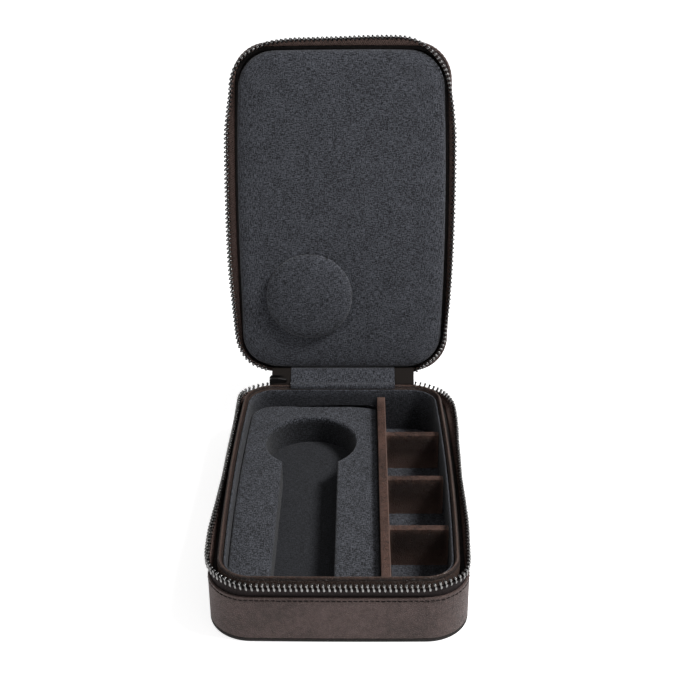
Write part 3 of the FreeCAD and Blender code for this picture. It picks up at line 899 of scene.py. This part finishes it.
# %% [markdown]
# ## Platform
#
# The raised block is foam in cloth, with a round recess and a channel cut through to the front. Its
# edges are soft, and the foam stands a little prouder than its plain solid. The outline runs once
# round the whole shape, and the rounded edge is made by moving each point of that outline inwards
# along its own normal while it rises.

# %% Platform
platform_gap = tray_inset + tray_wall_thickness + 0.2 * mm
platform_low, platform_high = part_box("watch_platform")
recess_radius = 25.0 * mm
recess_back_margin = 14.3 * mm
recess_centre = np.array(((platform_low.x + platform_high.x) / 2,
                          platform_high.y - recess_back_margin - recess_radius))
channel_half = 0.6 * recess_radius
platform_edge_x = platform_high.x


def platform_outline():
    """The block's outline as stretches between its corners, counterclockwise from the channel's right."""
    around = way_round(platform_gap, lip_corner)
    points, _ = along_outline(np.linspace(0, around, 700), platform_gap, lip_corner)
    x, y = points.T
    front = y < -case_depth / 4
    channel_left, channel_right = recess_centre[0] - channel_half, recess_centre[0] + channel_half
    front_right = points[front & (x > channel_right) & (x < platform_edge_x)]
    rear_right = points[(y > 0) & (x > 0) & (x < platform_edge_x)]
    left_round = points[(x <= 0) & (~front | (x < channel_left))]
    front_y, back_y = front_right[0, 1], rear_right[0, 1]
    edge = np.array([(platform_edge_x, y) for y in np.linspace(front_y, back_y, 90)])
    drop = math.sqrt(recess_radius**2 - channel_half**2)
    mouth = recess_centre[1] - drop
    wall_left = np.array([(channel_left, y) for y in np.linspace(front_y, mouth, 60)])
    first_turn = math.atan2(-drop, -channel_half)
    mouth_turn = 2 * math.asin(channel_half / recess_radius)
    turns = np.linspace(first_turn, first_turn - 2 * math.pi + mouth_turn, 90)
    circle = recess_centre + recess_radius * np.column_stack((np.cos(turns), np.sin(turns)))
    wall_right = wall_left[::-1] + (channel_right - channel_left, 0)
    return [front_right, edge, np.vstack((rear_right, left_round)), wall_left, circle, wall_right]


def joined(stretches, clear=2.2 * mm):
    """One outline of all the stretches; only the corner point itself is kept near each corner."""
    kept = []
    for stretch in stretches:
        far = np.minimum(np.linalg.norm(stretch - stretch[0], axis=1),
                         np.linalg.norm(stretch - stretch[-1], axis=1)) > clear
        kept += [stretch[:1], stretch[1:-1][far[1:-1]]]
    return np.vstack(kept)


def with_normals(points):
    """A closed path (first point repeated) with outward directions, for a counterclockwise outline."""
    before, after = np.roll(points, 1, 0), np.roll(points, -1, 0)
    first = (points - before) / np.linalg.norm(points - before, axis=1, keepdims=True)
    second = (after - points) / np.linalg.norm(after - points, axis=1, keepdims=True)
    normal = np.column_stack((first[:, 1] + second[:, 1], -first[:, 0] - second[:, 0]))
    normal /= np.linalg.norm(normal, axis=1, keepdims=True)
    turn = np.clip((first * second).sum(1), -1, 1)
    stretch = 1 / np.sqrt(np.clip((1 + turn) / 2, 0.3, 1))
    normal *= stretch[:, None]
    return np.vstack((points, points[:1])), np.vstack((normal, normal[:1]))


outline = joined(platform_outline())
platform_path = with_normals(outline)
soft_edge = 1.5 * mm
platform_section = [(0, tray_floor_top), (0, soft_top - 6 * mm)]
platform_section += rounded(soft_edge, soft_top - soft_edge, soft_edge, 0, 90, 7)
platform_section += [(soft_edge + 0.3 * mm, soft_top)]
# The platform's lining carries painted shade, darker down the cut walls.
make_piece("watch_platform_lined", block(platform_path, platform_section), platform_lining_painted_shade,
           ["watch_platform"])
print("platform outline points", len(outline))

# %% [markdown]
# ## Dividers
#
# Thin board wrapped in leather: upright walls with softly rounded top edges. A bar with a rounded
# section shows how the leather folds over the board.

# %% Dividers
divider_roll = 0.45 * mm


def make_divider(name, start, end, half):
    """A wrapped wall from start to end (x, y), with a rounded top."""
    start, end = np.array(start), np.array(end)
    direction = (end - start) / np.linalg.norm(end - start)
    side = np.array((direction[1], -direction[0]))
    section = [(-half, tray_floor_top), (-half, (tray_floor_top + divider_top) / 2)]
    for angle in np.radians(np.linspace(180, 90, 6)):
        section.append((-half + divider_roll + divider_roll * math.cos(angle),
                        divider_top - divider_roll + divider_roll * math.sin(angle)))
    section += [(-offset, height) for offset, height in reversed(section)]
    rows = []
    for share in np.linspace(0, 1, 24):
        centre = start + (end - start) * share
        rows.append([(*(centre + side * offset), height) for offset, height in section + section[:1]])
    rows = np.array(rows)
    along, across = lengths_along(rows[:, 0]), lengths_along(rows[0])
    threads = np.stack(np.meshgrid(across, along), -1)
    make_piece(name + "_wrapped", [grid(rows, threads)] + bar_ends(rows), divider_leather_painted_shade,
               [name])


def wall_ends(name):
    """Both ends (x, y) and half the thickness of a straight wall, from its box."""
    low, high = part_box(name)
    middle = (low + high) / 2
    if high.y - low.y > high.x - low.x:
        return (middle.x, low.y), (middle.x, high.y), (high.x - low.x) / 2
    return (low.x, middle.y), (high.x, middle.y), (high.y - low.y) / 2


# The divider leather carries painted shade, darker down the walls.
for name in ("long_divider", "cross_divider_rear", "cross_divider_middle", "cross_divider_front"):
    make_divider(name, *wall_ends(name))
print("dividers", 4)

# %% [markdown]
# ## Lid panel and press pad
#
# The lid is closed by a foam panel wrapped in the lining. Foam swells it slightly, so its edge rolls
# away and its face rises towards the middle. It is wrapped by hand, so its corners differ a little:
# the lower left one fills the lid. The round pad is a domed foam disc on top of it.

# %% Lid panel
lid_board = 2.0 * mm
lid_ceiling = lid_top - leather - lid_board
panel_inset = 4.2 * mm
panel_face = rim + 1.5 * mm
panel_roll = 3.0 * mm
panel_crown, crown_reach = 1.1 * mm, 14.5 * mm
panel_swell = ((0.082, 0.0), (0.1, 1.3), (0.12, 1.3), (0.16, 0.5), (0.34, 0.3), (0.4, 0.0))
lid_points, lid_outward = loop(zip_corner, 1.2 * mm)
swell = standing_out(np.linspace(0, zip_round, len(lid_points)), panel_swell)
lid_path = (lid_points + lid_outward * swell[:, None], lid_outward)
panel_section = [(panel_inset, lid_ceiling)]
panel_turns = np.radians(np.linspace(0, 90, 9))
panel_section += [(panel_inset + panel_roll - panel_roll * math.cos(turn),
                   panel_face + panel_roll - panel_roll * math.sin(turn)) for turn in panel_turns]
for reach in (4, 6, 9, 12, 14.5):
    share = reach * mm / crown_reach
    panel_section.append((panel_inset + reach * mm, panel_face - panel_crown * math.sin(share * math.pi / 2)))
panel = make_piece("lid_panel_padded", block(lid_path, panel_section), lining, ["lid_panel"],
                   True)

# %% Press pad
pad_radius = 24.6 * mm
pad_shift = 1.8 * mm
pad_centre = recess_centre - np.array((pad_shift, 0))
pad_profile = ((0.0, 0.0), (0.96, 0.0), (0.985, -0.4), (1.0, -1.6), (0.998, -2.8), (0.985, -3.8),
               (0.955, -4.7), (0.9, -5.4), (0.8, -6.1), (0.65, -6.75), (0.48, -7.2), (0.3, -7.48),
               (0.14, -7.58), (0.0, -7.6))
pad_section = [(share * pad_radius, panel_face + drop * mm) for share, drop in pad_profile]
pad = make_piece("press_pad_domed", [turned(pad_centre, pad_section)], lining, ["press_pad"],
                 True, 60)
print("lid panel and pad done")

# %% [markdown]
# ## Hinge
#
# Two strips join the halves: the lining strip inside, and the leather spine outside. A narrow piece of dark
# cloth on each side of the lining strip, called a gusset here, stands in for the ends of the two zip tapes,
# which seem to meet there on the real case. All of them cross the hinge, so they are made as thin sheets
# along a path, shaped for the open lid, and then taken off the base, so that they belong to neither body.

# %% Hinge strips
def opened(y, z):
    """Where a point of the closed lid (x = 0) lies once it is open."""
    turned_point = swing_open @ Vector((0, y, z))
    return turned_point.y, turned_point.z


def sheet_section(path, thickness):
    """Both sides of a thin sheet along a path of (y, z) points, as a closed row."""
    path = np.array(path)
    step = np.gradient(path, axis=0)
    step /= np.linalg.norm(step, axis=1, keepdims=True)
    normal = np.column_stack((-step[:, 1], step[:, 0]))
    return np.vstack((path + normal * thickness / 2, (path - normal * thickness / 2)[::-1]))


def resampled(path, step):
    path = np.array(path)
    along = lengths_along(path)
    places = np.linspace(0, along[-1], int(along[-1] / step) + 2)
    return np.column_stack([np.interp(places, along, path[:, axis]) for axis in (0, 1)])


def make_strip(name, path, width, thickness, material, stands_for):
    path = resampled(path, 0.7 * mm)
    section = sheet_section(path, thickness)
    section = np.vstack((section, section[:1]))
    rows = np.array([[(x, y, z) for y, z in section] for x in np.linspace(-width / 2, width / 2, 40)])
    threads = np.stack(np.meshgrid(lengths_along(section), np.linspace(0, width, 40)), -1)
    piece = make_piece(name, [grid(rows, threads)] + bar_ends(rows), material, stands_for, False, 60)
    return piece, path


def bend_over_hinge(piece):
    """Takes a piece off the base, so that it belongs to neither body, and bakes its place into its mesh."""
    piece.parent = None
    del piece["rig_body"]
    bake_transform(piece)


strip_width, strip_thickness, strip_gap = 60.4 * mm, 0.6 * mm, 0.3 * mm
off = strip_thickness / 2 + strip_gap
back = case_depth / 2
strip_inner = back - lip_inset - lip_thickness - off
strip_outer = back - lip_inset
strip_over = lip_top + off
strip_end = back - panel_inset + off
lid_start = opened(strip_end, panel_face)
strip_path = [(strip_inner, tray_top + strip_thickness), (strip_inner, lip_top - 0.3 * mm),
              (strip_inner + 0.2 * mm, strip_over - 0.35 * mm), (strip_inner + off, strip_over),
              (strip_outer, strip_over), lid_start, opened(strip_end, lid_band_edge)]
strip, strip_line = make_strip("hinge_strip_lined", strip_path, strip_width, strip_thickness, lining,
                               ["hinge_strip"])
bend_over_hinge(strip)

gusset_width, gusset_thickness, gusset_gap = 11.0 * mm, 0.4 * mm, 0.4 * mm
gusset_y = back - lip_inset + 0.3 * mm
gusset_start = (gusset_y, lip_top - 0.2 * mm)
gusset_path = [(gusset_y, lip_top - 3 * mm), gusset_start, lid_start, opened(strip_end, lid_band_edge)]
for name, side in (("hinge_gusset_left", -1), ("hinge_gusset_right", 1)):
    gusset, gusset_line = make_strip(name, gusset_path, gusset_width, gusset_thickness, thread_cloth,
                                     [])
    gusset.data.transform(Matrix.Translation((side * (strip_width + gusset_width + gusset_gap) / 2, 0, 0)))
    bend_over_hinge(gusset)
print("gussets", round(float(lengths_along(gusset_line)[-1]) / mm, 1), "mm long")

spine_width, spine_thickness = 61.2 * mm, 0.8 * mm
spine_y = back - zip_inset - seat_gap / 2
spine_start = np.array((spine_y, band_top))
spine_end = np.array(opened(spine_y, lid_band_edge))
across, rise = spine_end - spine_start
spine_radius = (across**2 + rise**2) / (2 * across)
spine_turn = math.atan2(rise, spine_radius - across)
spine_path = [(spine_y, band_top - sewn_in_base)]
spine_path += [(spine_y + spine_radius - spine_radius * math.cos(t), band_top + spine_radius * math.sin(t))
               for t in np.linspace(0, spine_turn, 14)]
spine_path += [opened(spine_y, lid_ceiling - 0.1 * mm)]
spine, _ = make_strip("hinge_spine_leather", spine_path, spine_width, spine_thickness, band_leather,
                      ["hinge_spine"])
bend_over_hinge(spine)
print("strips done, lining strip", round(float(lengths_along(strip_line)[-1]) / mm, 1), "mm long")

# %% [markdown]
# ## Finishes for the pieces that stay as they are
#
# The boards, stops, slider and pull keep the frame's own shape and only need a better finish.

# %% Assign the finishes
kept = {"base_shell": board_black_as_shade, "lid_shell": board_black_as_shade, "lid_panel_board": board_black_as_shade,
        "base_zip_stops": slider_metal, "lid_zip_stops": slider_metal, "zip_slider": slider_metal,
        "zip_pull": slider_metal}
for name, material in kept.items():
    node = frame["nodes"][name]
    for place in node.material_slots:
        place.material = material
print("kept nodes", len(kept))

# %% [markdown]
# ## Camera, floor and light
#
# The camera stands where the photograph was taken: high in front, looking down at the open case.
# One large soft lamp high on the right is the key: it lights what faces up or right, and leaves the
# walls that face the front in the tray dark, as in the photograph. A pale surround, brighter near the
# horizon as round a studio table, fills the rest and lights the outside more than the tray. The
# floor also glows a little for the camera, so that it looks white, and keeps a soft shadow.

# %% Camera
camera_place = Vector((10.73, -539.66, 383.96)) * mm
camera_yaw, camera_pitch, camera_roll = (math.radians(angle) for angle in (1.228, 26.962, -0.628))
focal_pixels, frame_pixels = 1237.74, 675.0
forward = Vector((-math.sin(camera_yaw) * math.cos(camera_pitch),
                  math.cos(camera_yaw) * math.cos(camera_pitch), -math.sin(camera_pitch)))
right = Vector((math.cos(camera_yaw), math.sin(camera_yaw), 0))
upward = right.cross(forward)
rolled_right = right * math.cos(camera_roll) + upward * math.sin(camera_roll)
rolled_up = upward * math.cos(camera_roll) - right * math.sin(camera_roll)
camera_data = bpy.data.cameras.new("camera")
camera_data.sensor_width = 36.0
camera_data.lens = focal_pixels / frame_pixels * camera_data.sensor_width
camera = bpy.data.objects.new("camera", camera_data)
camera.matrix_world = Matrix((
    (rolled_right.x, rolled_up.x, -forward.x, camera_place.x),
    (rolled_right.y, rolled_up.y, -forward.y, camera_place.y),
    (rolled_right.z, rolled_up.z, -forward.z, camera_place.z),
    (0, 0, 0, 1)))
bpy.context.scene.collection.objects.link(camera)
bpy.context.scene.camera = camera
print("lens", round(camera_data.lens, 1), "mm")


# %% Floor
floor_mesh = bpy.data.meshes.new("floor")
floor_reach, floor_drop, floor_glow = 6.0, 0.05 * mm, 0.75
floor_mesh.from_pydata([(-floor_reach, -floor_reach, 0), (floor_reach, -floor_reach, 0),
                        (floor_reach, floor_reach, 0), (-floor_reach, floor_reach, 0)], [], [(0, 1, 2, 3)])
floor = bpy.data.objects.new("floor", floor_mesh)
floor.location.z = -floor_drop
bpy.context.scene.collection.objects.link(floor)
floor_material, floor_shader, floor_links, floor_add = new_material(
    "pale_floor", Base_Color=(0.86, 0.86, 0.86, 1), Roughness=0.95, Specular_IOR_Level=0.1)
rays = floor_add("ShaderNodeLightPath")
seen = computed(floor_add, "MAXIMUM", rays["Is Camera Ray"], rays["Is Glossy Ray"])
seen = computed(floor_add, "MAXIMUM", seen, rays["Is Transmission Ray"])
white = floor_add("ShaderNodeEmission", Strength=computed(floor_add, "MULTIPLY", seen, floor_glow))[0]
both = floor_add("ShaderNodeAddShader", i0=floor_shader.outputs[0], i1=white)[0]
floor_links.new(both, floor_material.node_tree.nodes["Material Output"].inputs["Surface"])
floor_mesh.materials.append(floor_material)


# %% Light
key_place, key_aim = Vector((0.75, -0.12, 1.05)), Vector((0, 0, 0.08))
key_shape = bpy.data.lights.new("key", "AREA")
key_shape.shape = "DISK"
key_shape.size = 0.35
key_shape.energy = 15.0
key = bpy.data.objects.new("key", key_shape)
key.location = key_place
key.rotation_euler = (key_aim - key_place).to_track_quat("-Z", "Y").to_euler()
bpy.context.scene.collection.objects.link(key)
world = bpy.data.worlds.new("studio")
world.use_nodes = True
surround = world.node_tree.nodes["Background"]
surround.inputs["Color"].default_value = (1, 1, 1, 1)
sky, sky_links = world.node_tree.nodes, world.node_tree.links
heading = sky.new("ShaderNodeTexCoord").outputs["Generated"]
upwards = sky.new("ShaderNodeSeparateXYZ")
sky_links.new(heading, upwards.inputs[0])
fade = sky.new("ShaderNodeMapRange")
for socket, value in zip(list(fade.inputs)[1:5], (0.1, 0.35, 1.1, 0.3)):
    socket.default_value = value
sky_links.new(upwards.outputs["Z"], fade.inputs[0])
sky_links.new(fade.outputs[0], surround.inputs["Strength"])
bpy.context.scene.world = world
bpy.context.scene.view_settings.view_transform = "Standard"
print("lamps", 1, "and the surround")

# %% [markdown]
# ## The pieces made
#
# The dressed case should stay close to the construction model's box: only the rows of the zip, which bulge,
# stand a few millimetres past it. The last line prints how many pieces were made and how many faces they
# have.

# %% Count the pieces made
print("pieces made", len(made), "faces", sum(made.values()))
